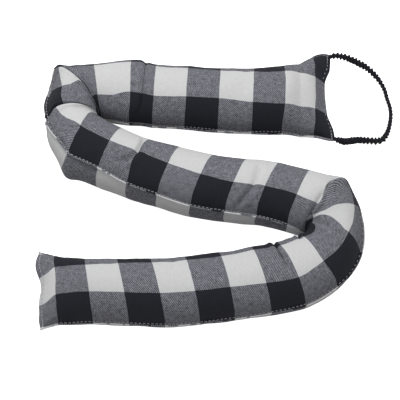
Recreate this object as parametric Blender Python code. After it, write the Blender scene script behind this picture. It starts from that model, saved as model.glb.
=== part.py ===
"""A draught excluder: a long filled cloth tube laid in three arms, with a gathered elastic loop.

The cover is two panels of checked cloth, sewn together along both long edges
and across both ends. The solid has the shape in which the filled cloth lies:
its crown, the flat where it rests, the bends, the sewn edges and the main folds.

Places on the cloth are given in checks: "along" counts the checks from the end
with the loop, "around" counts them from the front seam over the top panel to
the back seam (3) and under the bottom panel back to the front seam (6).
Lengths in the tables are millimetres.
"""

import math

import bmesh
import bpy
import numpy as np

# Driving dimensions
CHECK = 29.2
CLOTH_START = 0.28
CLOTH_END = 31.58
AROUND = 6.0
LIP_WIDTH = 2.6
LIP_BASE = 0.07
RESTING_SINK = 2.2
END_SEAM_HEIGHT = 24.0
END_REACH = 1.2
TOP_STEPS = 12
BOTTOM_STEPS = 9
MM = 0.001

# Where the plan's origin lies in the tables' own coordinates
ORIGIN_X = 0.0
ORIGIN_Y = 14.0

# Plan of the tube as it lies, with the two edges of each cross-section and its
# half-height. Edge A is the front seam of the upper arm, edge B its back seam.
PLAN_COLUMNS = ("along", "a_x", "a_y", "b_x", "b_y", "half_height")
PLAN = (
    (0.28, 119.8, 63.0, 119.3, 151.5, 1.1),
    (0.45, 116.5, 62.5, 115.5, 153.5, 3.8),
    (0.65, 110.5, 64.5, 109, 152.5, 8),
    (1.0, 102, 67.5, 101.5, 148.5, 15.5),
    (1.5, 89, 71, 90.5, 143.2, 22.5),
    (2.0, 75, 72, 77, 138, 26),
    (3.0, 46, 72, 49, 134.3, 26.5),
    (4.0, 16, 74, 19, 134.3, 26.5),
    (5.0, -13, 77, -10, 136, 26.5),
    (6.0, -42, 79, -39, 139.3, 26),
    (6.4, -50, 81, -47, 141.5, 25.8),
    (7.0, -62, 81.5, -62, 143.8, 26),
    (7.5, -74, 83, -77, 141.8, 26.5),
    (8.0, -83, 85, -93, 139, 26.5),
    (8.6, -88, 86.5, -111, 138, 26),
    (9.0, -89.5, 87, -122.5, 139, 24.5),
    (9.25, -90, 86.7, -131, 139.5, 24.5),
    (9.5, -90, 86.5, -133.2, 129, 25),
    (10.0, -90.5, 86, -136.3, 107, 26),
    (10.4, -90.5, 85.3, -139, 94, 26.5),
    (10.9, -90.5, 84.7, -138, 79, 25.5),
    (11.4, -90.2, 84, -136, 61, 26),
    (11.8, -89.6, 83.2, -128.5, 44, 26.5),
    (12.1, -87.5, 82, -118.5, 27.5, 26.5),
    (12.5, -79, 76, -105, 23, 26.5),
    (13.0, -67, 69.8, -91, 17.5, 26.5),
    (14.0, -43, 57.5, -65, 6.2, 26),
    (15.0, -16, 49.8, -38, -3.4, 26.5),
    (16.0, 13, 42.3, -9, -13, 26.5),
    (17.0, 42, 38.3, 21, -18, 26.5),
    (17.6, 59, 36.6, 37, -20, 26.5),
    (18.0, 70, 33.8, 48, -21.3, 26.5),
    (19.0, 97, 26.8, 75, -28, 26.5),
    (19.4, 107, 23.7, 82.5, -31.5, 26.5),
    (19.7, 115, 22, 87, -32.5, 26),
    (20.0, 124, 22, 89, -32.8, 25),
    (20.3, 130, 19, 89.8, -33.1, 26),
    (20.6, 133.3, 8, 90.1, -33.4, 26.5),
    (21.0, 136.6, -7, 90.2, -33.7, 26.5),
    (21.3, 138.6, -20, 90.2, -34, 26.5),
    (21.6, 139.4, -35, 90.1, -34.3, 26.5),
    (22.0, 136.2, -55, 89.8, -34.8, 26.5),
    (22.5, 127, -73, 88.8, -35.6, 26.5),
    (22.8, 119.7, -81.5, 86.5, -36.6, 26.5),
    (23.1, 111.5, -88.5, 82.5, -38.2, 26.5),
    (23.5, 101.5, -95.7, 76.5, -40.2, 26.5),
    (24.0, 89, -102, 66, -44.2, 26.5),
    (25.0, 59.5, -108.3, 42, -49.4, 26.5),
    (26.0, 29, -113, 15, -54.2, 26.5),
    (27.0, 0, -117.2, -14, -58, 26.5),
    (28.0, -29, -119, -43, -60.3, 26.5),
    (29.0, -59, -117.7, -71, -60.3, 26.5),
    (30.0, -89, -116.5, -98, -60.2, 26.5),
    (30.6, -106, -116.5, -112.5, -58.2, 25),
    (31.0, -118, -117.6, -123, -56.4, 20.5),
    (31.3, -126.5, -120.2, -131, -54.4, 13),
    (31.5, -131.5, -122.2, -136.5, -52.8, 5.5),
    (31.58, -133, -122.8, -137.8, -52.4, 1.1),
)

# How far the end seams bow outwards (or, below 0, are drawn in), from edge B (-1) to edge A (1)
END_COLUMNS = ("across", "start_bow", "stop_bow")
END_BOW = (
    (-1.0, 0, 0),
    (-0.68, -1.2, 2.7),
    (-0.50, -4.6, 1.6),
    (-0.34, -6.6, 0),
    (-0.18, -6.8, -1.4),
    (0.0, -6.7, -1.7),
    (0.20, -6.4, -0.3),
    (0.44, -5.6, 0.5),
    (0.62, -3.2, 0.3),
    (0.80, -0.9, 0.6),
    (1.0, 0, 0),
)

# How far the seams are turned up at edge B, in degrees
ROLL_COLUMNS = ("along", "degrees")
ROLL = (
    (0.28, 0),
    (1.0, 4),
    (7.5, 4),
    (9.0, 6),
    (10.5, 14),
    (11.6, 27),
    (13.0, 27),
    (16.0, 23),
    (18.0, 19),
    (19.5, 10),
    (21.0, 2),
    (22.5, 0),
    (31.58, 0),
)

# How far the middle of each end seam is drawn in from its corners

# Where the sewn edge stands clear of the cloth, from nothing (0) to full width (1)
LIP_COLUMNS = ("along", "edge_a", "edge_b")
LIP = (
    (0.28, 1, 1),
    (7.2, 1, 1),
    (7.9, 0, 1),
    (12.3, 0, 1),
    (13.0, 1, 1),
    (18.8, 1, 1),
    (19.4, 1, 0),
    (23.2, 1, 0),
    (23.9, 1, 1),
    (31.58, 1, 1),
)

# Main folds: a groove between two places on the cloth, with the cloth puffed up
# a little on both sides of it. The columns are along and around at one end,
# along and around at the other, the depth and the width.
FOLDS = (
    (6.30, 2.70, 6.40, 1.30, 4.0, 6.5),
    (6.40, 1.30, 6.35, 0.10, 3.5, 6.5),
    (9.05, 2.35, 8.95, 0.90, 5.0, 6.5),
    (10.90, 2.45, 10.95, 1.00, 5.0, 6.5),
    (13.95, 1.00, 13.90, 2.20, 3.0, 7.0),
    (17.50, 1.10, 17.60, 2.10, 2.0, 8.0),
    (17.60, 2.10, 17.35, 2.80, 2.0, 8.0),
    (20.00, 0.35, 20.05, 2.60, 5.5, 6.5),
    (22.00, 2.50, 21.90, 1.60, 2.5, 6.5),
    (23.35, 2.55, 23.30, 2.25, 3.0, 6.5),
    (24.25, 2.40, 24.05, 1.40, 2.0, 7.0),
)
SHOULDER = 0.30
SHOULDER_PLACE = 1.7
SHOULDER_WIDTH = 0.8

# Centreline of the elastic loop. The columns are x, y, the height of the centre
# and the radius.
LOOP = (
    (120.5, 152.2, 24.0, 2.0),
    (125.5, 153.4, 23.6, 2.4),
    (132, 153, 22, 2.6),
    (139, 152, 19.5, 2.6),
    (146, 150, 16.5, 2.6),
    (153.5, 147, 13, 2.5),
    (160, 142.5, 9.5, 2.3),
    (165.5, 136.5, 6.5, 2.0),
    (169.5, 129, 4, 1.8),
    (171.5, 120, 2.6, 1.7),
    (173.5, 112, 2.2, 1.7),
    (174, 103, 2.2, 1.7),
    (172.5, 93, 2.3, 1.8),
    (169.5, 83, 2.6, 2.0),
    (165, 76, 3, 2.4),
    (159, 74, 3.4, 2.6),
    (151, 74, 4, 2.6),
    (143, 73.5, 6, 2.6),
    (136, 70, 10, 2.6),
    (130, 67, 15, 2.6),
    (126, 64.3, 20, 2.4),
    (121.0, 62.8, 23.7, 2.0),
)
LOOP_POINTS = 80
GATHER_PITCH = 7.0
GATHER_DEPTH = 0.09


def columns(names, rows):
    """A table's columns by name."""
    return dict(zip(names, np.array(rows, dtype=float).T))


def smooth_between(x, y, at):
    """Monotone cubic values between a table's rows."""
    x, y, at = (np.asarray(q, dtype=float) for q in (x, y, at))
    step = np.diff(x)
    rise = np.diff(y) / step
    slope = np.zeros(len(x))
    slope[0], slope[-1] = rise[0], rise[-1]
    for i in range(1, len(x) - 1):
        if rise[i - 1] * rise[i] > 0:
            before = 2 * step[i] + step[i - 1]
            after = step[i] + 2 * step[i - 1]
            slope[i] = (before + after) / (before / rise[i - 1] + after / rise[i])
    i = np.clip(np.searchsorted(x, at) - 1, 0, len(step) - 1)
    s = (at - x[i]) / step[i]
    value = (2 * s**3 - 3 * s**2 + 1) * y[i] + (3 * s**2 - 2 * s**3) * y[i + 1]
    return value + step[i] * ((s**3 - 2 * s**2 + s) * slope[i] + (s**3 - s**2) * slope[i + 1])


def rounded(values, reach):
    """The values with their corners eased over a number of samples, both ends kept."""
    spread = np.arange(-3 * reach, 3 * reach + 1)
    weight = np.exp(-0.5 * (spread / reach) ** 2)
    weight /= weight.sum()
    pad = 3 * reach
    before = 2 * values[0] - values[pad:0:-1]
    after = 2 * values[-1] - values[-2:-pad - 2:-1]
    return np.convolve(np.concatenate([before, values, after]), weight, mode="valid")


class Tube:
    """The cloth surface: from places on the cloth to points in space, in millimetres."""

    def __init__(self):
        self.fine = np.linspace(CLOTH_START, CLOTH_END, 2400)
        plan = columns(PLAN_COLUMNS, PLAN)
        self.a_x = self.eased(plan, "a_x", 9) - ORIGIN_X
        self.a_y = self.eased(plan, "a_y", 9) - ORIGIN_Y
        self.b_x = self.eased(plan, "b_x", 9) - ORIGIN_X
        self.b_y = self.eased(plan, "b_y", 9) - ORIGIN_Y
        self.half_height = smooth_between(plan["along"], plan["half_height"], self.fine)
        self.roll = np.radians(self.eased(columns(ROLL_COLUMNS, ROLL), "degrees", 20))
        self.end_bow = columns(END_COLUMNS, END_BOW)
        lip = columns(LIP_COLUMNS, LIP)
        self.lip_a = np.interp(self.fine, lip["along"], lip["edge_a"])
        self.lip_b = np.interp(self.fine, lip["along"], lip["edge_b"])

    def eased(self, table, name, reach):
        return rounded(smooth_between(table["along"], table[name], self.fine), reach)

    def at(self, along, values):
        return np.interp(along, self.fine, values)

    def stand_out(self, along, around):
        """How far the sewn edges stand out from the tube."""
        to_a = np.abs((around + 3) % AROUND - 3)
        to_b = np.abs(around % AROUND - 3)
        edge_a = self.at(along, self.lip_a) * np.clip(1 - to_a / LIP_BASE, 0, 1)
        edge_b = self.at(along, self.lip_b) * np.clip(1 - to_b / LIP_BASE, 0, 1)
        return LIP_WIDTH * (edge_a + edge_b)

    def undisturbed(self, along, around):
        """Points on the tube without its folds."""
        a_x, a_y = self.at(along, self.a_x), self.at(along, self.a_y)
        b_x, b_y = self.at(along, self.b_x), self.at(along, self.b_y)
        high = self.at(along, self.half_height)
        turn = math.pi * around / 3 - self.at(along, self.roll)
        across, up = np.cos(turn), np.sin(turn)
        half = 0.5 * np.hypot(a_x - b_x, a_y - b_y)
        lip = self.stand_out(along, around)
        away_x = 0.5 * (a_x - b_x) / half
        away_y = 0.5 * (a_y - b_y) / half
        start = np.clip(1 - (along - CLOTH_START) / END_REACH, 0, 1) ** 2
        stop = np.clip(1 - (CLOTH_END - along) / END_REACH, 0, 1) ** 2
        start_bow, stop_bow = (smooth_between(self.end_bow["across"], self.end_bow[name], across)
                               for name in ("start_bow", "stop_bow"))
        drawn = start * start_bow - stop * stop_bow
        centre = np.maximum(high - RESTING_SINK, END_SEAM_HEIGHT * self.end_lift(along))
        x = 0.5 * (a_x + b_x) + across * (half + lip) * away_x - drawn * away_y
        y = 0.5 * (a_y + b_y) + across * (half + lip) * away_y + drawn * away_x
        z = np.maximum(centre + up * (high + lip), 0)
        return np.stack([x, y, z], axis=-1)

    def end_lift(self, along):
        """The end seams lie about half-way up."""
        inward = np.minimum(along - CLOTH_START, CLOTH_END - along)
        return np.clip(1.15 - 0.25 * inward, 0, 1)

    def fold(self, along, around):
        """How far the folds move the cloth outwards."""
        total = np.zeros(np.broadcast(along, around).shape)
        for along_1, around_1, along_2, around_2, depth, width in FOLDS:
            run = np.array([along_2 - along_1, around_2 - around_1]) * CHECK
            p = (along - along_1) * CHECK
            q = (around - around_1) * CHECK
            place = np.clip((p * run[0] + q * run[1]) / (run @ run), 0, 1)
            distance = np.hypot(p - place * run[0], q - place * run[1]) / width
            shoulders = SHOULDER * np.exp(-(((distance - SHOULDER_PLACE) / SHOULDER_WIDTH) ** 2))
            total = total + depth * (shoulders - np.exp(-(distance**2)))
        return total

    def surface(self, along, around):
        """Points on the folded tube."""
        along, around = np.broadcast_arrays(np.asarray(along, dtype=float), around)
        point = self.undisturbed(along, around)
        near = 0.02
        ahead = self.undisturbed(np.minimum(along + near, CLOTH_END), around)
        ahead = ahead - self.undisturbed(np.maximum(along - near, CLOTH_START), around)
        over = self.undisturbed(along, around + near) - self.undisturbed(along, around - near)
        outward = np.cross(over, ahead)
        outward /= np.maximum(np.linalg.norm(outward, axis=-1, keepdims=True), 1e-9)
        moved = point + outward * self.fold(along, around)[..., None]
        moved[..., 2] = np.maximum(moved[..., 2], 0)
        return moved


def ring_places():
    """Places of the cross-sections: closer at the ends and the folds."""
    coarse = 0.28
    fine = 0.13
    centres = [(along_1 + along_2) / 2 for along_1, _, along_2, *_ in FOLDS]
    places = [CLOTH_START]
    while places[-1] < CLOTH_END:
        here = places[-1]
        near_fold = min(abs(here - c) for c in centres) < 0.45
        near_end = min(here - CLOTH_START, CLOTH_END - here) < 0.7
        places.append(here + (fine if near_fold or near_end else coarse))
    span = places[-1] - CLOTH_START
    return CLOTH_START + (np.array(places) - CLOTH_START) * (CLOTH_END - CLOTH_START) / span


def around_places():
    """Places around the tube: both sewn edges, and even steps between them."""
    top = np.linspace(LIP_BASE, 3 - LIP_BASE, TOP_STEPS)
    bottom = np.linspace(3 + LIP_BASE, AROUND - LIP_BASE, BOTTOM_STEPS)
    return np.concatenate([[0], top, [3], bottom])


def filled_tube(material):
    tube = Tube()
    places = ring_places()
    around = around_places()
    grid = tube.surface(places[:, None], around[None, :]) * MM
    mesh = bmesh.new()
    rings = [[mesh.verts.new(tuple(point)) for point in ring] for ring in grid]
    count = len(around)
    for before, after in zip(rings, rings[1:]):
        for i in range(count):
            j = (i + 1) % count
            mesh.faces.new((before[i], after[i], after[j], before[j]))
    close_end(mesh, rings[0], True)
    close_end(mesh, rings[-1], False)
    bmesh.ops.triangulate(mesh, faces=mesh.faces[:])
    bmesh.ops.recalc_face_normals(mesh, faces=mesh.faces[:])
    return add_object("filled_tube", mesh, material)


def close_end(mesh, ring, first):
    """Closes an end with strips between the top and the bottom of its sewn edge."""
    seam = TOP_STEPS + 1
    low, high = 1, len(ring) - 1
    faces = [(ring[0], ring[low], ring[high])]
    while low < TOP_STEPS or high > seam + 1:
        top_left = (TOP_STEPS - low) / (TOP_STEPS - 1)
        bottom_left = (high - seam - 1) / (BOTTOM_STEPS - 1)
        if top_left >= bottom_left:
            faces.append((ring[low], ring[low + 1], ring[high]))
            low += 1
        else:
            faces.append((ring[low], ring[high - 1], ring[high]))
            high -= 1
    faces.append((ring[low], ring[seam], ring[high]))
    for face in faces:
        mesh.faces.new(face if first else face[::-1])


def through_points(rows, count):
    """Even samples of a smooth curve through the rows, by its length."""
    rows = np.array(rows, dtype=float)
    padded = np.vstack([2 * rows[0] - rows[1], rows, 2 * rows[-1] - rows[-2]])
    s = np.linspace(0, len(rows) - 1, 1500)
    i = np.minimum(s.astype(int), len(rows) - 2)
    f = (s - i)[:, None]
    p0, p1, p2, p3 = padded[i], padded[i + 1], padded[i + 2], padded[i + 3]
    curve = 0.5 * (2 * p1 + (p2 - p0) * f + (2 * p0 - 5 * p1 + 4 * p2 - p3) * f**2
                   + (3 * p1 - p0 - 3 * p2 + p3) * f**3)
    run = np.concatenate([[0], np.cumsum(np.linalg.norm(np.diff(curve[:, :3], axis=0), axis=1))])
    at = np.linspace(0, run[-1], count)
    return np.stack([np.interp(at, run, curve[:, k]) for k in range(rows.shape[1])], axis=1), run[-1]


def elastic_loop(material):
    """The loop's gathered casing, as a tube along its centreline."""
    points, length = through_points(LOOP, LOOP_POINTS)
    curve = bpy.data.curves.new("elastic_loop", "CURVE")
    curve.dimensions = "3D"
    curve.resolution_u = 1
    curve.bevel_depth = MM
    curve.bevel_resolution = 2
    curve.use_fill_caps = True
    spline = curve.splines.new("POLY")
    spline.points.add(LOOP_POINTS - 1)
    for i, (x, y, z, radius) in enumerate(points):
        gathers = i * length / LOOP_POINTS / GATHER_PITCH
        drawn_in = GATHER_DEPTH * 0.5 * (1 - math.cos(2 * math.pi * gathers))
        spline.points[i].co = ((x - ORIGIN_X) * MM, (y - ORIGIN_Y) * MM, max(z, radius) * MM, 1)
        spline.points[i].radius = radius * (1 - drawn_in)
    loop = bpy.data.objects.new("elastic_loop", curve)
    curve.materials.append(material)
    bpy.context.scene.collection.objects.link(loop)
    return loop


def add_object(name, mesh, material):
    data = bpy.data.meshes.new(name)
    mesh.to_mesh(data)
    mesh.free()
    data.shade_smooth()
    data.materials.append(material)
    made = bpy.data.objects.new(name, data)
    bpy.context.scene.collection.objects.link(made)
    return made


def plain_material(name, colour, roughness):
    material = bpy.data.materials.new(name)
    material.use_nodes = True
    shader = material.node_tree.nodes["Principled BSDF"]
    shader.inputs["Base Color"].default_value = (*colour, 1)
    shader.inputs["Roughness"].default_value = roughness
    shader.inputs["Metallic"].default_value = 0
    return material


def main():
    for old in list(bpy.data.objects):
        bpy.data.objects.remove(old, do_unlink=True)
    cloth = plain_material("check_cotton", (0.22, 0.22, 0.23), 0.9)
    elastic = plain_material("black_elastic", (0.018, 0.019, 0.023), 0.85)
    filled_tube(cloth)
    elastic_loop(elastic)


main()
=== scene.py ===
"""A draught excluder in buffalo check, laid in three arms, with a gathered elastic loop.

The cover is two panels sewn together along both long edges and both ends. Its
surface follows the plan of the part's solid within 2 mm, on a finer grid and with
folds of its own. The check follows the cloth through its UV map: u counts checks
along the tube and v counts checks around it, from the front seam over the top.
Lengths in the tables are millimetres.
"""

import math

import bpy
import numpy as np
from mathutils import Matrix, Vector


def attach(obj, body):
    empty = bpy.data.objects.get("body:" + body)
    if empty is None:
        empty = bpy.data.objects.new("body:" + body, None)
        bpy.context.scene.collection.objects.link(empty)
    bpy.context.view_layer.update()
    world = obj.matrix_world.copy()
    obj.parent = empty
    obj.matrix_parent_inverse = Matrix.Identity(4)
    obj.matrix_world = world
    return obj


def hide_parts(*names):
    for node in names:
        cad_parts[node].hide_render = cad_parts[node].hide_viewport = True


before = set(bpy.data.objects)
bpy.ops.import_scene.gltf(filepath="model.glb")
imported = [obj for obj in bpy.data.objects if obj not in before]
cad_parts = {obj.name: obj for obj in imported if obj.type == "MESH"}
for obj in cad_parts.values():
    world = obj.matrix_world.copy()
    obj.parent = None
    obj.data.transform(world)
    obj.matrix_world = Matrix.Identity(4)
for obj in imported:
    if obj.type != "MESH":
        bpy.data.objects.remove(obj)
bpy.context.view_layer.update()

MM = 0.001

# Sizes in millimetres
CHECK = 29.2
EDGE_WIDTH = 1.9
STITCH_PITCH = 3.4
RESTING_SINK = 2.2
END_SEAM_HEIGHT = 24.0

# Places on the cloth and widths there, counted in checks
CLOTH_START = 0.28
CLOTH_END = 31.58
AROUND = 6.0
EDGE_BASE = 0.11
STITCH_LINE = 0.085
END_STITCH = 0.115
STITCH_MARGIN = 0.16
END_REACH = 1.2

# Half the angle of the cross-section that the sewn edge takes, in degrees
EDGE_HALF_ANGLE = 1.6

# Where the part's origin lies in the tables' own coordinates
ORIGIN_X = 0.0
ORIGIN_Y = 14.0

# Plan of the tube as it lies, with the two edges of each cross-section and its
# half-height. Edge A is the front seam of the upper arm, edge B its back seam.
PLAN_COLUMNS = ("along", "a_x", "a_y", "b_x", "b_y", "half_height")
PLAN = (
    (0.28, 119.8, 63.0, 119.3, 151.5, 1.1),
    (0.45, 116.5, 62.5, 115.5, 153.5, 3.8),
    (0.65, 110.5, 64.5, 109, 152.5, 8),
    (1.0, 102, 67.5, 101.5, 148.5, 15.5),
    (1.5, 89, 71, 90.5, 143.2, 22.5),
    (2.0, 75, 72, 77, 138, 26),
    (3.0, 46, 72, 49, 134.3, 26.5),
    (4.0, 16, 74, 19, 134.3, 26.5),
    (5.0, -13, 77, -10, 136, 26.5),
    (6.0, -42, 79, -39, 139.3, 26),
    (6.4, -50, 81, -47, 141.5, 25.8),
    (7.0, -62, 81.5, -62, 143.8, 26),
    (7.5, -74, 83, -77, 141.8, 26.5),
    (8.0, -83, 85, -93, 139, 26.5),
    (8.6, -88, 86.5, -111, 138, 26),
    (9.0, -89.5, 87, -122.5, 139, 24.5),
    (9.25, -90, 86.7, -131, 139.5, 24.5),
    (9.5, -90, 86.5, -132.3, 129, 25),
    (10.0, -90.5, 86, -135.5, 107, 26),
    (10.4, -90.5, 85.3, -138.2, 94, 26.5),
    (10.9, -90.5, 84.7, -137, 79, 25.5),
    (11.4, -90.2, 84, -135, 61, 26),
    (11.8, -89.6, 83.2, -126.5, 44, 26.5),
    (12.1, -87.5, 82, -117.5, 28, 26.5),
    (12.5, -79, 76, -105, 23, 26.5),
    (13.0, -67, 69.8, -91, 17.5, 26.5),
    (14.0, -43, 57.5, -65, 6.2, 26),
    (15.0, -16, 49.8, -38, -3.4, 26.5),
    (16.0, 13, 42.3, -9, -13, 26.5),
    (17.0, 42, 38.3, 21, -18, 26.5),
    (17.6, 59, 36.6, 37, -20, 26.5),
    (18.0, 70, 33.8, 48, -21.3, 26.5),
    (19.0, 97, 26.8, 75, -28, 26.5),
    (19.4, 107, 23.7, 82.5, -31.5, 26.5),
    (19.7, 115, 22, 87, -32.5, 26),
    (20.0, 124, 22, 89, -32.8, 25),
    (20.3, 128.8, 18.5, 89.8, -33.1, 26),
    (20.6, 131.8, 8, 90.1, -33.4, 26.5),
    (21.0, 136.6, -7, 90.2, -33.7, 26.5),
    (21.3, 138.6, -20, 90.2, -34, 26.5),
    (21.6, 139.4, -35, 90.1, -34.3, 26.5),
    (22.0, 136.2, -55, 89.8, -34.8, 26.5),
    (22.5, 127, -73, 88.8, -35.6, 26.5),
    (22.8, 119.7, -81.5, 86.5, -36.6, 26.5),
    (23.1, 111.5, -88.5, 82.5, -38.2, 26.5),
    (23.5, 101.5, -95.7, 76.5, -40.2, 26.5),
    (24.0, 89, -102, 66, -44.2, 26.5),
    (25.0, 59.5, -108.3, 42, -49.4, 26.5),
    (26.0, 29, -113, 15, -54.2, 26.5),
    (27.0, 0, -117.2, -14, -58, 26.5),
    (28.0, -29, -119, -43, -60.3, 26.5),
    (29.0, -59, -117.7, -71, -60.3, 26.5),
    (30.0, -89, -116.5, -98, -60.2, 26.5),
    (30.6, -106, -116.5, -112.5, -58.2, 25),
    (31.0, -118, -117.6, -123, -56.4, 20.5),
    (31.3, -126.5, -120.2, -131, -54.4, 13),
    (31.5, -131.5, -122.2, -136.5, -52.8, 5.5),
    (31.58, -133, -122.8, -137.8, -52.4, 1.1),
)

# How far the end seams bow outwards (or, below 0, are drawn in), from edge B (-1) to edge A (1)
END_COLUMNS = ("across", "start_bow", "stop_bow")
END_BOW = (
    (-1.0, 0, 0),
    (-0.68, -1.2, 2.7),
    (-0.50, -4.6, 1.6),
    (-0.34, -6.6, 0),
    (-0.18, -6.8, -1.4),
    (0.0, -6.7, -1.7),
    (0.20, -6.4, -0.3),
    (0.44, -5.6, 0.5),
    (0.62, -3.2, 0.3),
    (0.80, -0.9, 0.6),
    (1.0, 0, 0),
)

# How far the seams are turned up at edge B, in degrees
ROLL_COLUMNS = ("along", "degrees")
ROLL = (
    (0.28, 0),
    (1.0, 4),
    (7.5, 4),
    (9.0, 6),
    (10.5, 16),
    (11.0, 26),
    (11.5, 38),
    (12.0, 45),
    (13.0, 40),
    (14.0, 32),
    (16.0, 24),
    (18.0, 19),
    (19.5, 10),
    (21.0, 0),
    (21.8, -8),
    (23.2, -10),
    (24.5, -5),
    (26.0, -2),
    (31.58, 0),
)

# How much the sewn edge stands clear of the cloth, from nothing (0) to full width (1)
EDGE_COLUMNS = ("along", "edge_a", "edge_b")
EDGE = (
    (0.28, 1, 1),
    (1.4, 1.2, 1),
    (2.5, 1.5, 1),
    (4.5, 1.2, 1),
    (7.2, 1, 1),
    (7.9, 0, 1),
    (12.3, 0, 1.3),
    (13.0, 1, 1.3),
    (18.8, 1, 1.2),
    (19.4, 1, 0),
    (23.2, 1, 0),
    (23.9, 1, 1),
    (31.58, 1, 1),
)

# Places around the tube of the two lines between the rows of the top panel's check
ROW_COLUMNS = ("along", "front_line", "back_line")
ROWS = (
    (0.28, 1.12, 1.78),
    (0.6, 1.12, 1.82),
    (1.0, 1.09, 1.87),
    (1.5, 1.05, 1.96),
    (2.0, 1.035, 2.03),
    (3.0, 1.08, 2.07),
    (4.0, 1.15, 2.14),
    (6.0, 1.10, 2.16),
    (7.0, 1.14, 2.16),
    (7.7, 1.00, 2.16),
    (8.9, 1.00, 2.20),
    (9.1, 0.66, 2.40),
    (9.5, 0.66, 2.34),
    (9.9, 0.66, 2.09),
    (10.7, 0.66, 2.06),
    (10.9, 0.78, 2.36),
    (11.4, 0.93, 2.27),
    (12.0, 1.06, 2.12),
    (13.0, 1.01, 2.08),
    (14.0, 0.89, 1.92),
    (15.0, 0.85, 1.97),
    (16.0, 0.82, 1.99),
    (17.0, 0.80, 2.06),
    (18.0, 0.80, 2.02),
    (19.0, 0.78, 1.98),
    (20.4, 0.67, 1.94),
    (20.75, 0.62, 2.25),
    (21.1, 0.70, 2.30),
    (21.5, 0.81, 2.15),
    (21.9, 0.96, 2.03),
    (22.9, 1.01, 1.97),
    (23.4, 0.98, 2.01),
    (24.0, 0.95, 2.03),
    (25.0, 1.01, 2.07),
    (26.0, 1.07, 2.05),
    (28.0, 1.10, 2.06),
    (29.3, 1.10, 1.98),
    (30.4, 1.10, 1.89),
    (31.0, 1.10, 1.86),
    (31.3, 1.00, 1.74),
    (31.58, 1.10, 1.77),
)

# Where the lines between the columns lie at the bends, at seven places around the
# tube: cloth is taken up by the creases on the inner side
LINE_PLACES = (0.4, 1.1, 1.4, 1.8, 2.2, 2.6, 3.0)
LINES = (
    (0.28, 0.28, 0.28, 0.28, 0.28, 0.28, 0.28, 0.28),
    (1.0, 1.03, 0.92, 0.84, 0.80, 0.87, 0.92, 0.93),
    (2.0, 2.08, 2.0, 2.0, 2.0, 2.03, 2.04, 2.04),
    (3.0, 3.0, 3.0, 3.0, 3.0, 3.0, 3.0, 3.0),
    (7.0, 7.05, 7.0, 7.0, 7.0, 7.0, 7.0, 7.0),
    (8.0, 8.80, 8.39, 8.28, 8.2, 8.15, 8.1, 8.1),
    (8.80, 8.94, 8.97, 9.01, 9.13, 9.19, 9.25, 9.30),
    (9.05, 8.97, 9.00, 9.05, 9.19, 9.27, 9.33, 9.37),
    (10.0, 9.02, 9.05, 9.18, 9.74, 9.96, 10.0, 10.1),
    (11.0, 10.76, 10.75, 10.76, 10.76, 10.78, 10.93, 11.10),
    (12.0, 11.40, 11.48, 11.57, 11.83, 11.98, 12.03, 12.05),
    (13.0, 13.0, 13.0, 13.0, 13.0, 13.0, 13.0, 13.0),
    (19.0, 19.0, 19.0, 19.0, 19.0, 18.98, 18.95, 19.0),
    (19.95, 20.38, 20.13, 20.04, 20.36, 20.42, 20.20, 20.05),
    (20.10, 20.44, 20.19, 20.10, 20.42, 20.48, 20.26, 20.12),
    (21.0, 21.12, 21.07, 21.02, 20.98, 20.70, 20.38, 20.22),
    (22.0, 21.96, 21.82, 21.58, 21.19, 20.78, 20.47, 20.33),
    (23.0, 22.97, 23.10, 23.10, 23.08, 23.10, 23.0, 23.0),
    (24.0, 24.02, 24.04, 24.05, 24.08, 24.1, 24.12, 24.1),
    (25.0, 25.0, 25.0, 25.0, 25.0, 25.0, 25.0, 25.0),
)

# Folds: the route of a groove over the cloth as (along, around) places, its depth and
# width, how far the cloth on the side of higher places along leans over it, and the
# width of the slope on the side that is leant over
FOLDS = (
    (((6.50, 2.75), (6.46, 2.00), (6.49, 1.30), (6.55, 0.90), (6.62, 0.50)), 1.9, 3.2, 2.2, 2.5),
    (((9.38, 2.85), (9.33, 2.50), (9.22, 1.85), (9.07, 1.35), (9.03, 1.00), (9.00, 0.60)),
     7.0, 2.7, 4.2, 1.7),
    (((11.16, 3.40), (10.98, 2.82), (10.78, 2.45), (10.74, 1.68), (10.72, 0.75)), 7.0, 2.7, 4.2, 1.7),
    (((10.95, 1.80), (11.12, 1.72), (11.34, 1.70)), 1.5, 2.6, 0.0, 2.6),
    (((13.92, 1.20), (13.98, 1.90), (13.80, 2.30), (13.35, 2.55)), 3.4, 3.2, 2.0, 2.6),
    (((17.50, 1.20), (17.66, 2.00), (17.35, 2.80)), 3.0, 3.2, 1.8, 2.8),
    (((20.44, 0.62), (20.34, 0.88), (20.14, 1.15), (20.00, 1.40), (20.16, 1.62), (20.36, 1.80),
      (20.48, 2.02), (20.46, 2.25), (20.30, 2.70)),
     13.0, 2.6, 5.8, 2.0),
    (((20.85, 2.25), (21.15, 2.12), (21.65, 1.92), (21.90, 1.50)), 1.6, 3.0, 0.0, 3.0),
    (((22.98, 2.80), (23.12, 2.45), (23.30, 2.00)), 5.0, 2.8, 1.6, 2.8),
    (((24.20, 2.75), (24.26, 2.25), (24.32, 1.70), (24.24, 1.25)), 4.5, 2.6, 3.0, 2.0),
    (((27.35, 2.5), (27.45, 1.6)), 0.7, 5.0, 0.0, 5.0),
    (((3.2, 2.4), (3.35, 1.2)), 0.7, 5.0, 0.0, 5.0),
)

# Places where the filling pushes the cloth out: along, around, height and width
BULGES = (
    (9.28, 2.85, 2.5, 7.0),
    (22.85, 2.85, 3.5, 8.0),
    (12.15, 3.94, 3.0, 6.0),
    (6.85, 2.20, 1.0, 10.0),
    (14.40, 1.20, 1.0, 14.0),
    (19.85, 1.40, 1.4, 9.0),
    (20.85, 1.45, 1.2, 7.0),
)

# Height of the cloth puffed up beside a fold, as a share of its depth
LEANING_SHOULDER = 0.30
UNDER_SHOULDER = 0.06

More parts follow.
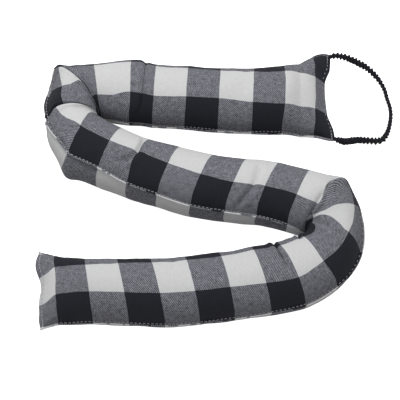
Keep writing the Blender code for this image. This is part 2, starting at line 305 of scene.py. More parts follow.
# Strip of the top at a seam that shows the bottom panel's cloth, in checks
EDGE_TURN = 0.034

# Half the distance over which the slope of the surface is taken, in checks
SLOPE_STEP = 0.02

# Centreline of the elastic loop: x, y, height of the centre and the radius
LOOP = (
    (120.5, 152.2, 24.0, 2.0),
    (125.5, 153.4, 23.6, 2.4),
    (132, 153, 22, 2.6),
    (139, 152, 19.5, 2.6),
    (146, 150, 16.5, 2.6),
    (153.5, 147, 13, 2.5),
    (160, 142.5, 9.5, 2.3),
    (165.5, 136.5, 6.5, 2.0),
    (169.5, 129, 4, 1.8),
    (171.5, 120, 2.6, 1.7),
    (173.5, 112, 2.2, 1.7),
    (174, 103, 2.2, 1.7),
    (172.5, 93, 2.3, 1.8),
    (169.5, 83, 2.6, 2.0),
    (165, 76, 3, 2.4),
    (159, 74, 3.4, 2.6),
    (151, 74, 4, 2.6),
    (143, 73.5, 6, 2.5),
    (136, 70, 10, 2.3),
    (130, 66, 15, 2.2),
    (126, 63.6, 20, 2.2),
    (121.0, 62.8, 23.7, 2.0),
)
SEWN_IN_START = (115.5, 149.3, 24.0, 0.7)
SEWN_IN_STOP = (116.6, 65.2, 23.9, 0.7)
LOOP_SIDES = 28
LOOP_STEP = 0.45

# View of the photograph
CAMERA_ELEVATION = 60.0
CAMERA_DISTANCE = 1.40
CAMERA_TARGET = (0.0, -0.014, 0.025)
FOCAL_PIXELS = 1613.0
FRAME_PIXELS = 400
SENSOR = 36.0

# Soft light: a sky that darkens towards the floor, and one large lamp
SKY_STRENGTH = 0.56
SKY_LOW = (0.38, 0.38, 0.38)
SKY_HIGH = (1, 1, 1)
SKY_RISE = 1.4
SKY_AT_HORIZON = 0.42
OVERHEAD_POWER = 12
OVERHEAD_PLACE = (-0.30, 0.55, 1.45)
OVERHEAD_SIZE = 0.9
LIT_POINT = (0, 0, 0.02)

# The floor, in metres
FLOOR_REACH = 3
FLOOR_LEVEL = -0.0002


# Camera, light and floor


def place_camera():
    """The photograph's view, from the front and above."""
    data = bpy.data.cameras.new("view")
    data.sensor_width = SENSOR
    data.lens = FOCAL_PIXELS / FRAME_PIXELS * SENSOR
    data.clip_start = 0.1
    data.clip_end = 20
    camera = bpy.data.objects.new("view", data)
    elevation = math.radians(CAMERA_ELEVATION)
    away = Vector((0, -math.cos(elevation), math.sin(elevation)))
    camera.location = Vector(CAMERA_TARGET) + away * CAMERA_DISTANCE
    camera.rotation_euler = (math.pi / 2 - elevation, 0, 0)
    bpy.context.scene.collection.objects.link(camera)
    bpy.context.scene.camera = camera


def soft_light(name, location, size, power):
    """A round lamp that faces the part."""
    data = bpy.data.lights.new(name, "AREA")
    data.shape = "DISK"
    data.size = size
    data.energy = power
    lamp = bpy.data.objects.new(name, data)
    lamp.location = location
    direction = Vector(LIT_POINT) - Vector(location)
    lamp.rotation_euler = direction.to_track_quat("-Z", "Y").to_euler()
    bpy.context.scene.collection.objects.link(lamp)


def light_the_studio():
    """The sky, the lamp and the picture's tones."""
    world = bpy.data.worlds.new("studio")
    world.use_nodes = True
    sky = NodeMaker(world.node_tree)
    height = sky.node("ShaderNodeTexCoord", {}, (), "Generated")
    height = sky.node("ShaderNodeSeparateXYZ", {}, (height,), "Z")
    shade = (height * SKY_RISE + SKY_AT_HORIZON).limited()
    colour = sky.node("ShaderNodeMix", {"data_type": "RGBA"}, {0: shade, 6: SKY_LOW, 7: SKY_HIGH}, 2)
    sky.connect(colour, sky.nodes["Background"].inputs["Color"])
    sky.nodes["Background"].inputs["Strength"].default_value = SKY_STRENGTH
    bpy.context.scene.world = world
    soft_light("overhead", OVERHEAD_PLACE, OVERHEAD_SIZE, OVERHEAD_POWER)
    bpy.context.scene.view_settings.view_transform = "Standard"


# Shader maths as expressions


class Value:
    """A socket that carries a number, with arithmetic that adds Math nodes."""

    def __init__(self, finish, socket):
        self.finish = finish
        self.socket = socket

    def math(self, operation, *others, **settings):
        return self.finish.node("ShaderNodeMath", {"operation": operation, **settings}, (self, *others))

    def __add__(self, other):
        return self.math("ADD", other)

    def __sub__(self, other):
        return self.math("SUBTRACT", other)

    def __mul__(self, other):
        return self.math("MULTIPLY", other)

    def __truediv__(self, other):
        return self.math("DIVIDE", other)

    def __mod__(self, other):
        return self.math("FLOORED_MODULO", other)

    def __lt__(self, other):
        return self.math("LESS_THAN", other)

    def __abs__(self):
        return self.math("ABSOLUTE")

    def __radd__(self, other):
        return self + other

    def __rmul__(self, other):
        return self * other

    def __rsub__(self, other):
        return self.finish.node("ShaderNodeMath", {"operation": "SUBTRACT"}, (other, self))

    def floor(self):
        return self.math("FLOOR")

    def limited(self):
        return self.math("ADD", 0, use_clamp=True)

    def sine(self):
        return self.math("SINE")


class NodeMaker:
    """Adds nodes to a tree and links them."""

    def __init__(self, tree):
        self.nodes = tree.nodes
        self.links = tree.links

    def connect(self, value, socket):
        if isinstance(value, Value):
            self.links.new(value.socket, socket)
        elif isinstance(value, bpy.types.NodeSocket):
            self.links.new(value, socket)
        elif isinstance(value, tuple) and socket.type == "RGBA" and len(value) == 3:
            socket.default_value = (*value, 1)
        else:
            socket.default_value = value

    def node(self, kind, settings=None, sockets=(), output=0):
        """Adds a node: its settings first, then its sockets by order or by name."""
        made = self.nodes.new(kind)
        for key, value in (settings or {}).items():
            setattr(made, key, value)
        pairs = sockets.items() if isinstance(sockets, dict) else enumerate(sockets)
        for key, value in pairs:
            self.connect(value, made.inputs[key])
        return Value(self, made.outputs[output])


class Finish(NodeMaker):
    """A material and the nodes that make it."""

    def __init__(self, name, roughness, sheen=0.0, gloss=0.2):
        self.material = bpy.data.materials.new(name)
        self.material.use_nodes = True
        super().__init__(self.material.node_tree)
        self.shader = self.nodes["Principled BSDF"]
        self.shader.inputs["Roughness"].default_value = roughness
        self.shader.inputs["Sheen Weight"].default_value = sheen
        self.shader.inputs["Sheen Roughness"].default_value = 0.5
        self.shader.inputs["Specular IOR Level"].default_value = gloss

    def mix(self, factor, first, second):
        return self.node("ShaderNodeMix", {"data_type": "RGBA"}, {0: factor, 6: first, 7: second}, 2)

    def noise(self, place, scale, detail=2.0, roughness=0.5):
        sockets = {"Vector": place, "Scale": scale, "Detail": detail, "Roughness": roughness}
        return self.node("ShaderNodeTexNoise", {}, sockets, "Fac")

    def flat(self, x, y):
        """A place on the cloth from two numbers."""
        return self.node("ShaderNodeCombineXYZ", {}, (x, y))

    def scaled(self, colour, factor):
        """A colour times a number."""
        return self.node("ShaderNodeVectorMath", {"operation": "SCALE"}, {"Vector": colour, "Scale": factor})

    def object_place(self):
        return self.node("ShaderNodeTexCoord", {}, (), "Object")

    def uv(self, name):
        """Both numbers of a UV map."""
        place = self.node("ShaderNodeUVMap", {"uv_map": name})
        split = self.nodes.new("ShaderNodeSeparateXYZ")
        self.links.new(place.socket, split.inputs[0])
        return Value(self, split.outputs[0]), Value(self, split.outputs[1])

    def colour(self, value):
        self.connect(value, self.shader.inputs["Base Color"])

    def bump(self, height, distance, strength=1.0):
        sockets = {"Strength": strength, "Distance": distance, "Height": height}
        raised = self.node("ShaderNodeBump", {}, sockets)
        self.connect(raised, self.shader.inputs["Normal"])


# Finishes

WHITE_YARN = (0.71, 0.71, 0.715)
BLACK_YARN = (0.0222, 0.0232, 0.0308)
HEATHER_YARN = (0.365, 0.368, 0.415)
HEATHER_GREY = (0.180, 0.182, 0.208)
CASING_DARK = (0.009, 0.0095, 0.013)
CASING_LIGHT = (0.024, 0.025, 0.033)
THREAD_DARK = (0.30, 0.305, 0.325)
THREAD_LIGHT = (0.56, 0.565, 0.585)
FLOOR_DARK = (0.93, 0.93, 0.93)
FLOOR_LIGHT = (0.95, 0.95, 0.95)

# The weave: yarns to a check, how far the check's lines wander in checks, how much of
# the mixed checks is faded to one grey, and how uneven each kind of check is
YARNS_PER_CHECK = 72.0
WANDER = 0.03
FADED = 0.36
UNEVEN_WHITE = 0.16
UNEVEN_MIXED = 1.35
UNEVEN_DARK = 0.15
YARN_HEIGHT = 0.00030


def check_cotton():
    """Twill of dark and light yarns: the columns' yarns cross the tube, the rows' run along it."""
    cloth = Finish("check_cotton", 0.95, 0.04, 0.1)
    u, v = cloth.uv("cloth")
    wander = (cloth.noise(cloth.flat(u * 2.0, v * 2.0), 1.0, 2.0) - 0.5) * WANDER
    dark_column = ((u + wander) % 2.0) < 1.0
    dark_row = ((v - wander) % 2.0) < 1.0
    across = u * YARNS_PER_CHECK
    along = v * YARNS_PER_CHECK
    column_on_top = ((across.floor() + along.floor()) % 4.0) < 2.0
    dark = dark_column * column_on_top + dark_row * (1.0 - column_on_top)
    mixed = abs(dark_column - dark_row)
    column_slub = cloth.noise(cloth.flat(across * 0.45, v * 7.0), 1.0, 2.0, 0.6)
    row_slub = cloth.noise(cloth.flat(u * 7.0, along * 0.45), 1.0, 2.0, 0.6)
    fuzz = cloth.noise(cloth.flat(u * 24.0, v * 24.0), 1.0, 3.0, 0.7)
    mottle = cloth.noise(cloth.flat(u * 7.0, v * 7.0), 1.0, 2.0, 0.6)
    unevenness = (column_slub + row_slub) * 0.9 + fuzz * 1.0 + mottle * 0.5 - 1.65
    light = cloth.mix(mixed, WHITE_YARN, HEATHER_YARN)
    yarn = cloth.mix(dark, light, BLACK_YARN)
    fading = cloth.mix(mixed * FADED, yarn, HEATHER_GREY)
    tone = 1.0 + unevenness * (UNEVEN_WHITE + UNEVEN_MIXED * mixed + UNEVEN_DARK * dark)
    cloth.colour(cloth.scaled(fading, tone))
    column_side = abs((across % 1.0) - 0.5) * column_on_top
    crown = column_side + abs((along % 1.0) - 0.5) * (1.0 - column_on_top)
    cloth.bump(0.5 * (1.0 - crown * 2.0) + fuzz * 0.7 + unevenness * 0.5, YARN_HEIGHT, 0.7)
    return cloth.material


def black_casing():
    """Thin black cloth, gathered over elastic."""
    casing = Finish("black_casing", 0.9, 0.03, 0.12)
    fibre = casing.noise(casing.object_place(), 900.0, 3.0)
    casing.colour(casing.mix(fibre, CASING_DARK, CASING_LIGHT))
    casing.bump(fibre, YARN_HEIGHT, 0.5)
    return casing.material


def sewing_thread():
    """Light grey thread."""
    thread = Finish("sewing_thread", 0.7, 0.1)
    fibre = thread.noise(thread.object_place(), 1500.0)
    thread.colour(thread.mix(fibre, THREAD_DARK, THREAD_LIGHT))
    return thread.material


def pale_floor():
    """A floor as pale as the photograph's background, with some light of its own."""
    floor = Finish("pale_floor", 0.9)
    grain = floor.noise(floor.object_place(), 3.0)
    floor.colour(floor.mix(grain, FLOOR_DARK, FLOOR_LIGHT))
    floor.shader.inputs["Emission Color"].default_value = (1, 1, 1, 1)
    floor.shader.inputs["Emission Strength"].default_value = 1.0
    return floor.material


# Curves through a table's rows


def columns(names, rows):
    """A table's columns by name."""
    return dict(zip(names, np.array(rows, dtype=float).T))


def smooth_between(x, y, at):
    """Monotone cubic values between a table's rows."""
    x, y, at = (np.asarray(q, dtype=float) for q in (x, y, at))
    step = np.diff(x)
    rise = np.diff(y) / step
    slope = np.zeros(len(x))
    slope[0], slope[-1] = rise[0], rise[-1]
    for i in range(1, len(x) - 1):
        if rise[i - 1] * rise[i] > 0:
            before = 2 * step[i] + step[i - 1]
            after = step[i] + 2 * step[i - 1]
            slope[i] = (before + after) / (before / rise[i - 1] + after / rise[i])
    i = np.clip(np.searchsorted(x, at) - 1, 0, len(step) - 1)
    s = (at - x[i]) / step[i]
    value = (2 * s**3 - 3 * s**2 + 1) * y[i] + (3 * s**2 - 2 * s**3) * y[i + 1]
    return value + step[i] * ((s**3 - 2 * s**2 + s) * slope[i] + (s**3 - s**2) * slope[i + 1])


def rounded(values, reach):
    """The values with their corners eased over a number of samples, both ends kept."""
    spread = np.arange(-3 * reach, 3 * reach + 1)
    weight = np.exp(-0.5 * (spread / reach) ** 2)
    weight /= weight.sum()
    pad = 3 * reach
    before = 2 * values[0] - values[pad:0:-1]
    after = 2 * values[-1] - values[-2:-pad - 2:-1]
    return np.convolve(np.concatenate([before, values, after]), weight, mode="valid")


def through_points(rows, count):
    """Even samples of a smooth curve through the rows, by its length."""
    rows = np.array(rows, dtype=float)
    padded = np.vstack([2 * rows[0] - rows[1], rows, 2 * rows[-1] - rows[-2]])
    s = np.linspace(0, len(rows) - 1, 1500)
    i = np.minimum(s.astype(int), len(rows) - 2)
    f = (s - i)[:, None]
    p0, p1, p2, p3 = padded[i], padded[i + 1], padded[i + 2], padded[i + 3]
    curve = 0.5 * (2 * p1 + (p2 - p0) * f + (2 * p0 - 5 * p1 + 4 * p2 - p3) * f**2
                   + (3 * p1 - p0 - 3 * p2 + p3) * f**3)
    run = np.concatenate([[0], np.cumsum(np.linalg.norm(np.diff(curve[:, :3], axis=0), axis=1))])
    at = np.linspace(0, run[-1], count)
    return np.stack([np.interp(at, run, curve[:, k]) for k in range(rows.shape[1])], axis=1), run[-1]


def gentle_noise(p, q, seed, wrap=None):
    """Smooth random values from -1 to 1 over two coordinates; q may close on itself."""
    table = np.random.default_rng(seed).uniform(-1, 1, (256, 256))
    i, j = np.floor(p).astype(int), np.floor(q).astype(int)
    f, g = p - i, q - j
    f, g = f * f * (3 - 2 * f), g * g * (3 - 2 * g)
    j0, j1 = (j, j + 1) if wrap is None else (j % wrap, (j + 1) % wrap)
    a, b = table[i % 256, j0 % 256], table[(i + 1) % 256, j0 % 256]
    c, d = table[i % 256, j1 % 256], table[(i + 1) % 256, j1 % 256]
    return (a * (1 - f) + b * f) * (1 - g) + (c * (1 - f) + d * f) * g


# The cover


class Cover:
    """The cloth surface: from places on the cloth to points in space, in millimetres."""

    def __init__(self):
        self.fine = np.linspace(CLOTH_START, CLOTH_END, 2400)
        plan = columns(PLAN_COLUMNS, PLAN)
        self.a_x = self.eased(plan, "a_x", 9) - ORIGIN_X
        self.a_y = self.eased(plan, "a_y", 9) - ORIGIN_Y
        self.b_x = self.eased(plan, "b_x", 9) - ORIGIN_X
        self.b_y = self.eased(plan, "b_y", 9) - ORIGIN_Y
        self.half_height = smooth_between(plan["along"], plan["half_height"], self.fine)
        self.roll = np.radians(self.eased(columns(ROLL_COLUMNS, ROLL), "degrees", 20))
        self.end_bow = columns(END_COLUMNS, END_BOW)
        edge = columns(EDGE_COLUMNS, EDGE)
        self.edge_a = np.interp(self.fine, edge["along"], edge["edge_a"])
        self.edge_b = np.interp(self.fine, edge["along"], edge["edge_b"])
        rows = columns(ROW_COLUMNS, ROWS)
        self.front_line = self.eased(rows, "front_line", 4)
        self.back_line = self.eased(rows, "back_line", 4)

    def eased(self, table, name, reach):
        """A table's column at fine steps along the tube, its corners eased."""
        return rounded(smooth_between(table["along"], table[name], self.fine), reach)

    def at(self, along, values):
        """Values that were kept at fine steps, at places along the tube."""
        return np.interp(along, self.fine, values)

    def to_seam(self, along, around):
        """Distance to the nearest seam in checks, above it or below, and the edge's fullness."""
        to_a = (around + 3) % AROUND - 3
        to_b = 3 - around % AROUND
        near_a = np.abs(to_a) < np.abs(to_b)
        distance = np.where(near_a, to_a, to_b)
        return distance, np.where(near_a, self.at(along, self.edge_a), self.at(along, self.edge_b))

    def stand_out(self, along, around):
        """How far the sewn edges stand out from the tube."""
        distance, fullness = self.to_seam(along, around)
        return EDGE_WIDTH * fullness * np.clip(1 - np.abs(distance) / EDGE_BASE, 0, 1) ** 1.3

    def turn(self, around):
        """Angle of the cross-section: the sewn edge takes little of it, the panels the rest."""
        knots, angles = [], []
        for seam in (0, 3, 6):
            knots += [seam - EDGE_BASE, seam, seam + EDGE_BASE]
            angles += [60 * seam - EDGE_HALF_ANGLE, 60 * seam, 60 * seam + EDGE_HALF_ANGLE]
        return np.radians(np.interp(around, knots, angles))

    def undisturbed(self, along, around):
        """Points on the tube without its folds."""
        a_x, a_y = self.at(along, self.a_x), self.at(along, self.a_y)
        b_x, b_y = self.at(along, self.b_x), self.at(along, self.b_y)
        high = self.at(along, self.half_height)
        turn = self.turn(around) - self.at(along, self.roll)
        across, up = np.cos(turn), np.sin(turn)
        half = 0.5 * np.hypot(a_x - b_x, a_y - b_y)
        edge = self.stand_out(along, around)
        away_x = 0.5 * (a_x - b_x) / half
        away_y = 0.5 * (a_y - b_y) / half
        start = np.clip(1 - (along - CLOTH_START) / END_REACH, 0, 1) ** 2
        stop = np.clip(1 - (CLOTH_END - along) / END_REACH, 0, 1) ** 2
        start_bow, stop_bow = (smooth_between(self.end_bow["across"], self.end_bow[name], across)
                               for name in ("start_bow", "stop_bow"))
        drawn = start * start_bow - stop * stop_bow
        centre = np.maximum(high - RESTING_SINK, END_SEAM_HEIGHT * self.end_lift(along))
        x = 0.5 * (a_x + b_x) + across * (half + edge) * away_x - drawn * away_y
        y = 0.5 * (a_y + b_y) + across * (half + edge) * away_y + drawn * away_x
        z = np.maximum(centre + up * (high + edge), 0)
        return np.stack([x, y, z], axis=-1)

    def end_lift(self, along):
        """The end seams lie about half-way up."""
        inward = np.minimum(along - CLOTH_START, CLOTH_END - along)
        return np.clip(1.15 - 0.25 * inward, 0, 1)

    def folds(self, along, around):
        """How far the folds move the cloth outwards, and how far they drag it along and around."""
        shape = np.broadcast(along, around).shape
        outward, drag_along, drag_around = np.zeros(shape), np.zeros(shape), np.zeros(shape)
        for route, depth, width, lean, under in FOLDS:
            here = FoldDistance(route, along, around)
            leaning = (here.side > 0) | (lean == 0)
            near = np.abs(here.side) / width
            low = np.abs(here.side) / under
            shoulder = LEANING_SHOULDER * np.exp(-(((near - 1.9) / 0.95) ** 2))
            rise = UNDER_SHOULDER * np.exp(-(((low - 2.2) / 1.0) ** 2))
            profile = np.where(leaning, shoulder - np.exp(-(near**1.6)), rise - np.exp(-(low**1.8)))
            outward += here.strength * depth * profile
            drag = np.where(here.side > 0, near * np.exp(1 - near), 0) * here.strength * lean / CHECK
            drag_along -= drag * here.across_along
            drag_around -= drag * here.across_around
        return outward, drag_along, drag_around

    def unevenness(self, along, around):
        """Slight lumps of the filling, and puckers beside the seams."""
        distance, fullness = self.to_seam(along, around)
        to_seam = np.abs(distance)
        lumps = 0.45 * gentle_noise(along * 1.6, around * 2, 11, 12)
        for place, turned, height, width in BULGES:
            off = ((along - place) ** 2 + (around - turned) ** 2) * (CHECK / width) ** 2
            lumps = lumps + height * np.exp(-off)
        lumps = lumps + 0.15 * gentle_noise(along * 4.1, around * 4, 12, 24)
        beside = np.exp(-(((to_seam - 0.27) / 0.20) ** 2))
        puckers = 0.42 * beside * gentle_noise(along * 5.6, around, 13, 6)
        return lumps * np.clip(to_seam / 0.2 + 0.3, 0, 1) + puckers * fullness

    def seam_relief(self, along, around):
        """The stitched groove on the top panel, and the ridge of the bottom panel below the seam."""
        distance, fullness = self.to_seam(along, around)
        mm = distance * CHECK
        stitch = (along * CHECK / STITCH_PITCH) % 1.0
        sewn_down = 0.6 + 0.4 * np.cos(2 * math.pi * stitch)
        groove = -0.55 * sewn_down * np.exp(-(((mm - STITCH_LINE * CHECK) / 0.9) ** 2))
        tuck = -0.55 * np.exp(-(((mm - 1.25) / 0.35) ** 2))
        ridge = 0.55 * np.exp(-(((mm - 0.55) / 0.40) ** 2)) + 0.5 * np.exp(-(((mm + 0.5) / 0.6) ** 2))
        inward = np.minimum(along - CLOTH_START, CLOTH_END - along) * CHECK
        end_groove = -0.6 * np.exp(-(((inward - 3.4) / 0.9) ** 2))
        return fullness * (groove + tuck + ridge) + end_groove * np.clip(np.abs(mm) / 3, 0, 1)

    def surface(self, along, around):
        """Points on the folded cover."""
        along, around = np.broadcast_arrays(np.asarray(along, dtype=float), around)
        outward, drag_along, drag_around = self.folds(along, around)
        outward = outward + self.unevenness(along, around) + self.seam_relief(along, around)
        place, turned = along + drag_along, around + drag_around
        point = self.undisturbed(place, turned)
        ahead = self.undisturbed(np.minimum(place + SLOPE_STEP, CLOTH_END), turned)
        ahead = ahead - self.undisturbed(np.maximum(place - SLOPE_STEP, CLOTH_START), turned)
        over = self.undisturbed(place, turned + SLOPE_STEP) - self.undisturbed(place, turned - SLOPE_STEP)
        normal = np.cross(over, ahead)
        normal /= np.maximum(np.linalg.norm(normal, axis=-1, keepdims=True), 1e-9)
        moved = point + normal * outward[..., None]
        moved[..., 2] = np.maximum(moved[..., 2], 0)
        return moved

    def cloth_place(self, along, around):
        """UV of the check: its lines follow the tables of rows and of column lines."""
        front, back = self.at(along, self.front_line), self.at(along, self.back_line)
        v = np.where(around < front, around / front, 1 + (around - front) / (back - front))
        v = np.where(around > back, 2 + (around - back) / (3 - back), v)
        v = np.where(around > 3 - EDGE_TURN, np.maximum(around, 3.001), v)
        v = np.where(around < EDGE_TURN, AROUND - 0.001, v)
        along, around = np.broadcast_arrays(np.asarray(along, dtype=float), around)
        u = along.copy()
        lines = np.array(LINES)
        folded = np.where(around <= 3, around, AROUND - around)
        where = np.interp(folded, LINE_PLACES, np.arange(len(LINE_PLACES)))
        low = np.minimum(where.astype(int), len(LINE_PLACES) - 2)
        part = where - low
        for row, row_next in zip(lines, lines[1:]):
            here = row[1 + low] * (1 - part) + row[2 + low] * part
            after = row_next[1 + low] * (1 - part) + row_next[2 + low] * part
            inside = (along >= here) & (along < after)
            u = np.where(inside, row[0] + (row_next[0] - row[0]) * (along - here) / (after - here), u)
        return np.stack([u, v], axis=-1)


class FoldDistance:
    """Where places on the cloth lie beside a fold's route, in millimetres along the cloth."""

    def __init__(self, route, along, around):
        shape = np.broadcast(along, around).shape
        route = np.array(route, dtype=float)
        near = np.full(shape, 1e9)
        self.side = np.zeros(shape)
        self.across_along = np.zeros(shape)
        self.across_around = np.zeros(shape)
        place = np.zeros(shape)
        lengths = np.hypot(*(np.diff(route, axis=0) * CHECK).T)
        run = 0.0
        for (along_1, around_1), (along_2, around_2), length in zip(route, route[1:], lengths):
            step_along, step_around = (along_2 - along_1) * CHECK, (around_2 - around_1) * CHECK
            p, q = (along - along_1) * CHECK, (around - around_1) * CHECK
            t = np.clip((p * step_along + q * step_around) / length**2, 0, 1)
            off_along, off_around = p - t * step_along, q - t * step_around
            distance = np.hypot(off_along, off_around)
            sign = np.sign(off_along * abs(step_around) + off_around * -np.sign(step_around) * step_along)
            closer = distance < near
            near = np.where(closer, distance, near)
            self.side = np.where(closer, distance * np.where(sign == 0, 1, sign), self.side)
            safe = np.maximum(distance, 1e-6)
            self.across_along = np.where(closer, np.abs(off_along) / safe, self.across_along)
            self.across_around = np.where(closer, off_around / safe * sign, self.across_around)
            place = np.where(closer, run + t * length, place)
            run += length
        fade = 10.0
        self.strength = np.clip(place / fade + 0.25, 0, 1) * np.clip((run - place) / fade + 0.25, 0, 1)
        self.strength = self.strength**1.5


def around_places():
    """Places around the cover: close at the sewn edges, even over the panels."""
    edge = [0.010, 0.022, EDGE_TURN, 0.045, 0.058, 0.075, 0.095, 0.12, 0.155, 0.20]
    panel = list(np.linspace(0.255, 2.745, 47))
    half = [0.0, *edge, *panel, *[3 - q for q in reversed(edge)]]
    return np.array(half + [q + 3 for q in half])


def along_places():
    """Places along the cover: closer at the ends, the bends and the folds."""
    centres = np.array([np.mean([place for place, _ in route]) for route, *_ in FOLDS])
    places = [CLOTH_START, CLOTH_START + 0.012, CLOTH_START + 0.03]
    while places[-1] < CLOTH_END - 0.05:
        here = places[-1]
        at_bend = 8.4 < here < 11.8 or 19.9 < here < 23.7
        near_fold = np.abs(here - centres).min() < 0.35
        places.append(here + (0.020 if at_bend else 0.036 if near_fold else 0.055))
    places[-1] = CLOTH_END - 0.03
    return np.array([*places, CLOTH_END - 0.012, CLOTH_END])


def add_mesh(name, points, faces, material, uv=None):
    """A smooth mesh object from its points and faces, with a UV map if one is given."""
    data = bpy.data.meshes.new(name)
    data.from_pydata([tuple(p) for p in points], [], faces)
    data.update()
    if uv is not None:
        layer = data.uv_layers.new(name="cloth")
        layer.data.foreach_set("uv", np.asarray(uv, dtype=np.float32).ravel())
    data.shade_smooth()
    data.materials.append(material)
    made = bpy.data.objects.new(name, data)
    bpy.context.scene.collection.objects.link(made)
    return made


def make_cover(cover, material):
    """The closed mesh of the cover: rings along the tube, and a strip that shuts each end."""
    along = along_places()
    around = around_places()
    rings, count = len(along), len(around)
    points = cover.surface(along[:, None], around[None, :]) * MM
    closed = np.append(around, AROUND)
    places = cover.cloth_place(along[:, None], closed[None, :])
    index = np.arange(rings * count).reshape(rings, count)
    faces, uv = [], []
    for i in range(rings - 1):
        for j in range(count):
            k = (j + 1) % count
            faces.append((index[i, j], index[i + 1, j], index[i + 1, k], index[i, k]))
            uv += [places[i, j], places[i + 1, j], places[i + 1, j + 1], places[i, j + 1]]
    half = count // 2
    for ring, first in ((0, True), (rings - 1, False)):
        for j in range(half):
            strip = (j, j + 1, (count - j - 1) % count, (count - j) % count)
            strip = tuple(dict.fromkeys(strip))
            if len(strip) < 3:
                continue
            corners = strip if first else strip[::-1]
            faces.append(tuple(index[ring, q] for q in corners))
            uv += [places[ring, q] for q in corners]
    faces = [tuple(int(q) for q in face) for face in faces]
    return add_mesh("check_cover", points.reshape(-1, 3), faces, material, uv)


# Geometry Nodes for what repeats


class Pattern(NodeMaker):
    """A Geometry Nodes tree with named inputs, which ends in Realize Instances and Set Material."""

    def __init__(self, name, inputs):
        self.tree = bpy.data.node_groups.new(name, "GeometryNodeTree")
        super().__init__(self.tree)
        self.tree.interface.new_socket("Geometry", in_out="INPUT", socket_type="NodeSocketGeometry")
        self.values = dict(inputs)
        for label in inputs:
            self.tree.interface.new_socket(label, in_out="INPUT", socket_type="NodeSocketFloat")
        self.tree.interface.new_socket("Geometry", in_out="OUTPUT", socket_type="NodeSocketGeometry")
        self.start = self.nodes.new("NodeGroupInput")
        self.stop = self.nodes.new("NodeGroupOutput")

    def given(self, label):
        """One of the tree's inputs."""
        return Value(self, self.start.outputs[label])

    def stored(self, label, kind="FLOAT"):
        """A value that the mesh's points carry."""
        return self.node("GeometryNodeInputNamedAttribute", {"data_type": kind}, {"Name": label}, "Attribute")

    def captured(self, geometry, label, value):
        """The geometry with a value fixed on its points, and that value for later nodes."""
        keeper = self.nodes.new("GeometryNodeCaptureAttribute")
        keeper.capture_items.new("FLOAT", label)
        self.connect(geometry, keeper.inputs["Geometry"])
        self.connect(value, keeper.inputs[label])
        return Value(self, keeper.outputs["Geometry"]), Value(self, keeper.outputs[label])

    def vector(self, x, y, z):
        return self.node("ShaderNodeCombineXYZ", {}, (x, y, z))

    def noise(self, x, y, z, detail):
        """Smooth random values at a place given by three numbers."""
        sockets = {"Vector": self.vector(x, y, z), "Scale": 1.0, "Detail": detail}
        return self.node("ShaderNodeTexNoise", {}, sockets, 0)

    def finish(self, geometry, material):
        """Ends the tree."""
        real = self.node("GeometryNodeRealizeInstances", {}, (geometry,))
        smooth = self.node("GeometryNodeSetShadeSmooth", {}, {"Geometry": real, "Shade Smooth": True})
        coated = self.node("GeometryNodeSetMaterial", {}, {"Geometry": smooth, "Material": material})
        self.connect(coated, self.stop.inputs["Geometry"])

    def applied(self, name, source, material):
        """The tree's result on an object, as a plain mesh object; the source is removed."""
        modifier = source.modifiers.new(name, "NODES")
        modifier.node_group = self.tree
        for item in self.tree.interface.items_tree:
            if item.in_out == "INPUT" and item.name in self.values:
                modifier[item.identifier] = self.values[item.name]
        evaluated = source.evaluated_get(bpy.context.evaluated_depsgraph_get())
        data = bpy.data.meshes.new_from_object(evaluated)
        data.name = name
        source.modifiers.remove(modifier)
        bpy.data.objects.remove(source, do_unlink=True)
        if not data.materials:
            data.materials.append(material)
        made = bpy.data.objects.new(name, data)
        bpy.context.scene.collection.objects.link(made)
        return made


def point_row(name, points, edges, attributes):
    """A mesh of bare points, or a line of them, with values for a tree to read."""
    data = bpy.data.meshes.new(name)
    data.from_pydata([tuple(p) for p in points], edges, [])
    for label, values in attributes.items():
        values = np.asarray(values, dtype=np.float32)
        kind = "FLOAT" if values.ndim == 1 else "FLOAT_VECTOR"
        layer = data.attributes.new(label, kind, "POINT")
        layer.data.foreach_set("value" if values.ndim == 1 else "vector", values.ravel())
    made = bpy.data.objects.new(name, data)
    bpy.context.scene.collection.objects.link(made)
    return made


# The elastic loop


def gathered_casing(material):
    """A tube of cloth round the loop's path, drawn up in small uneven gathers."""
    sizes = {"Gather pitch": 3.5 * MM, "Gather height": 0.66, "Crumple": 0.28}
    tree = Pattern("gathered_casing", sizes)
    line = tree.node("GeometryNodeMeshToCurve", {}, {"Mesh": tree.given("Geometry")})
    run = tree.node("GeometryNodeSplineParameter", {}, (), "Length")
    line, run = tree.captured(line, "run", run)
    circle = tree.node("GeometryNodeCurvePrimitiveCircle", {}, {"Resolution": LOOP_SIDES, "Radius": 1.0})
    turn = tree.node("GeometryNodeSplineParameter", {}, (), "Factor")
    circle, turn = tree.captured(circle, "turn", turn)
    sockets = {"Curve": line, "Profile Curve": circle, "Scale": tree.stored("thickness"), "Fill Caps": True}
    skin = tree.node("GeometryNodeCurveToMesh", {}, sockets)
    angle = turn * (2 * math.pi)
    round_x, round_y = angle.math("COSINE"), angle.sine()
    slow = tree.noise(run * 70.0, round_x * 0.7, round_y * 0.7, 1.0)
    phase = run / tree.given("Gather pitch") + (slow - 0.5) * 1.1
    pleat = (phase * (2 * math.pi)).sine() * 0.5 + 0.5
    quick = tree.noise(run * 900.0, round_x * 2.2, round_y * 2.2, 2.0)
    out = (pleat - 0.5) * tree.given("Gather height") + (quick - 0.5) * tree.given("Crumple") * 2.0
    normal = tree.node("GeometryNodeInputNormal")
    push = tree.node("ShaderNodeVectorMath", {"operation": "SCALE"},
                     {"Vector": normal, "Scale": out * tree.stored("thickness") * tree.stored("fullness")})
    moved = tree.node("GeometryNodeSetPosition", {}, {"Geometry": skin, "Offset": push})
    tree.finish(moved, material)
    return tree


